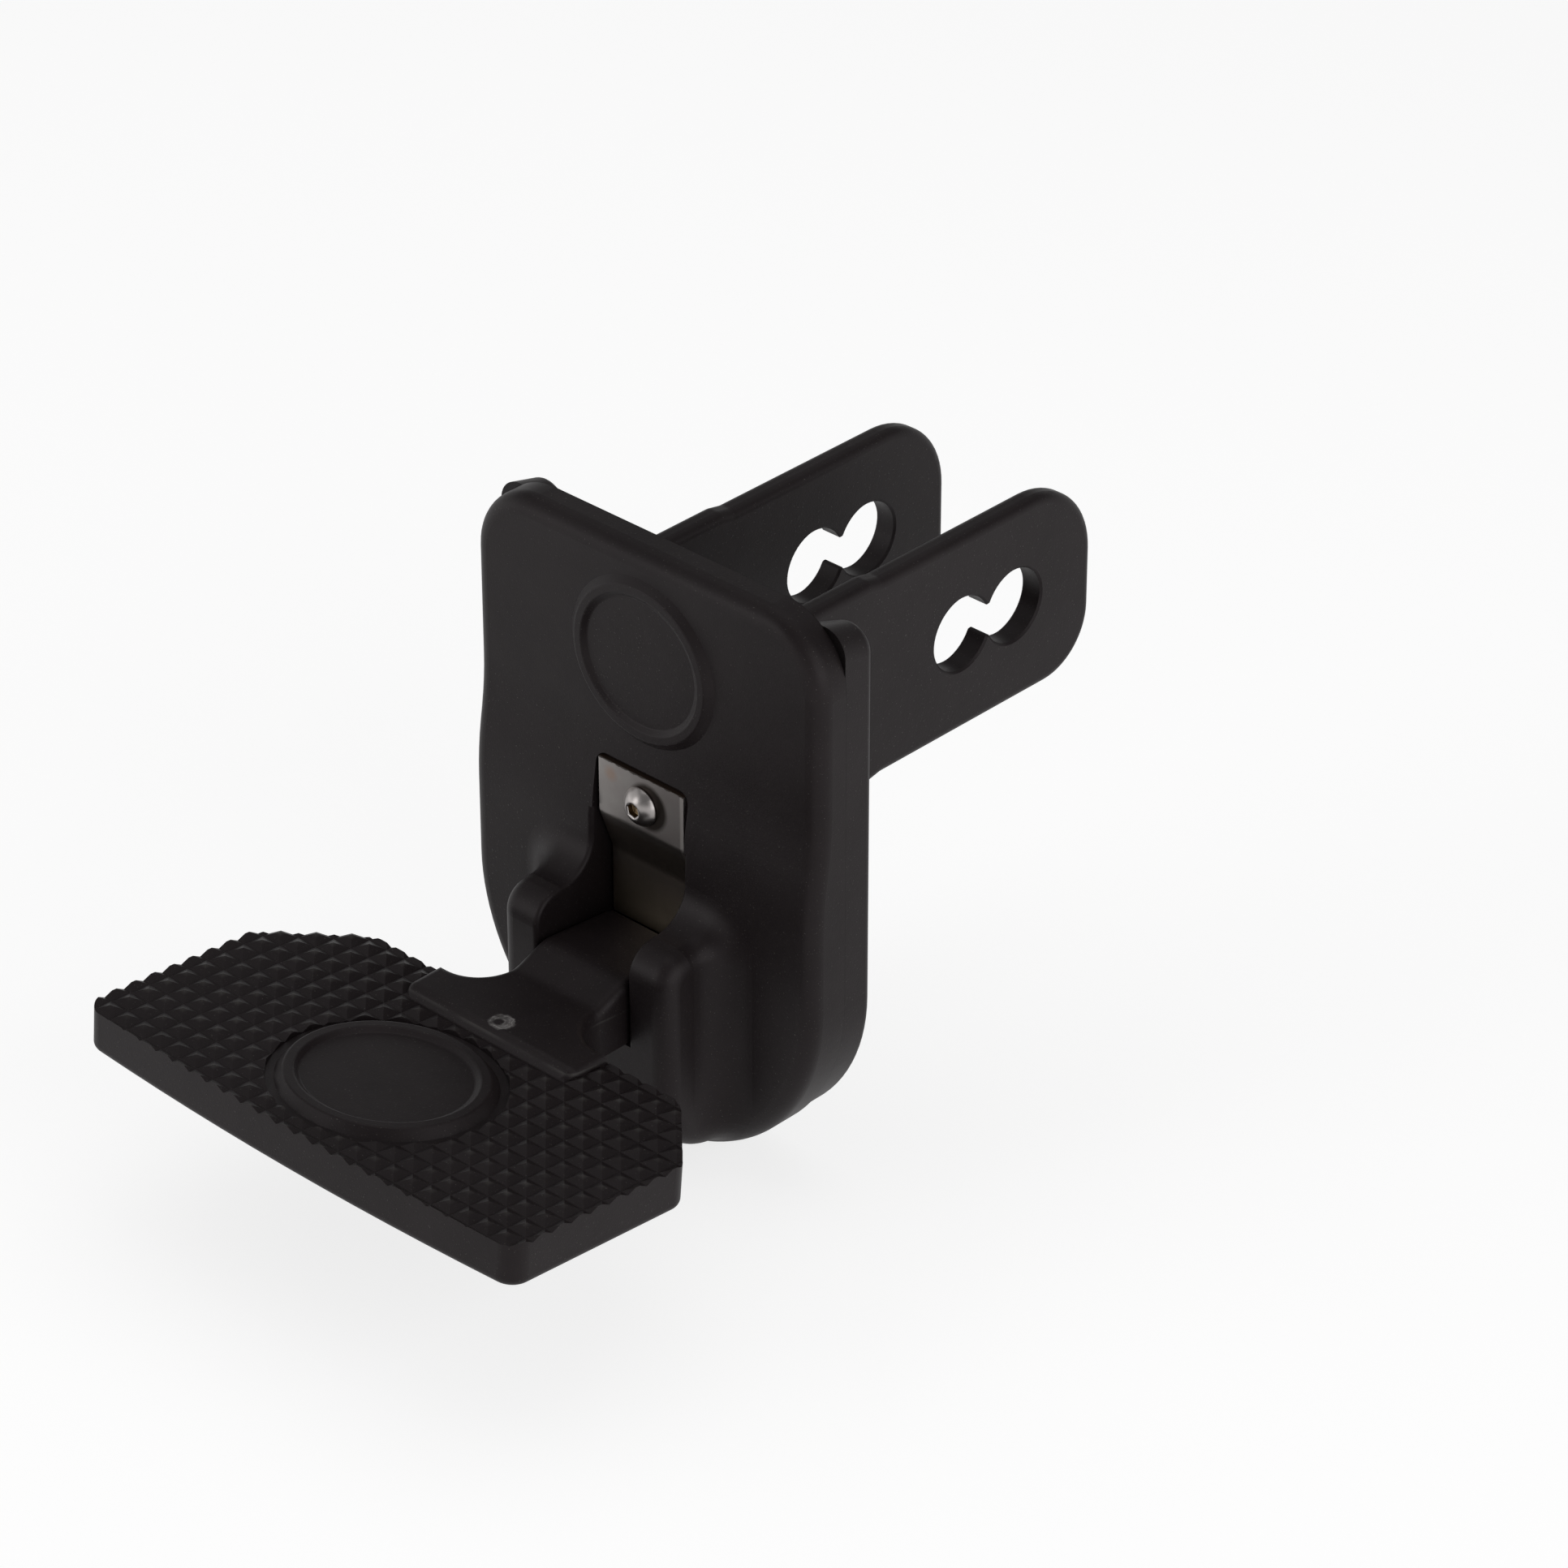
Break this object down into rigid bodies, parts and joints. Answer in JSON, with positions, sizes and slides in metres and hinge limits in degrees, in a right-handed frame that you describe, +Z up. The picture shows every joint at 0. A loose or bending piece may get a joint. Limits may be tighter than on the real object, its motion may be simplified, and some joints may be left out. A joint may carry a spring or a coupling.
{
  "type": "hitch receiver step",
  "caption": "Folding step for a 2 inch hitch receiver: two-prong tongue, rounded plate, hinged tread pad and a leaf spring that holds it up or down.",
  "frame": {"origin": "middle of the tongue's section, on the plate's rear face, which meets the mouth of the receiver", "axes": "+Y along the tongue into the receiver, towards the vehicle; -Y to the user; +Z up; +X to the user's right"},
  "size_m": [0.1332, 0.2301, 0.1477],
  "materials": {
    "bracket_coat": "satin black powder coat on cast aluminium",
    "step_coat": "satin black powder coat on cast aluminium",
    "spring_steel": "bare rolled spring steel",
    "screw_steel": "bare stainless steel",
    "pin_steel": "ground steel"
  },
  "bodies": {
    "bracket": {"hitch_bracket": "bracket_coat", "leaf_spring": "spring_steel", "spring_screw": "screw_steel", "hinge_pin": "pin_steel"},
    "step": {"step_pad": "step_coat"}
  },
  "joints": [
    {"name": "step_fold", "type": "hinge", "parent": "bracket", "child": "step", "pos_m": [0, -0.025, -0.0635], "axis": [-1, 0, 0], "range_deg": [0, 83.5]}
  ]
}
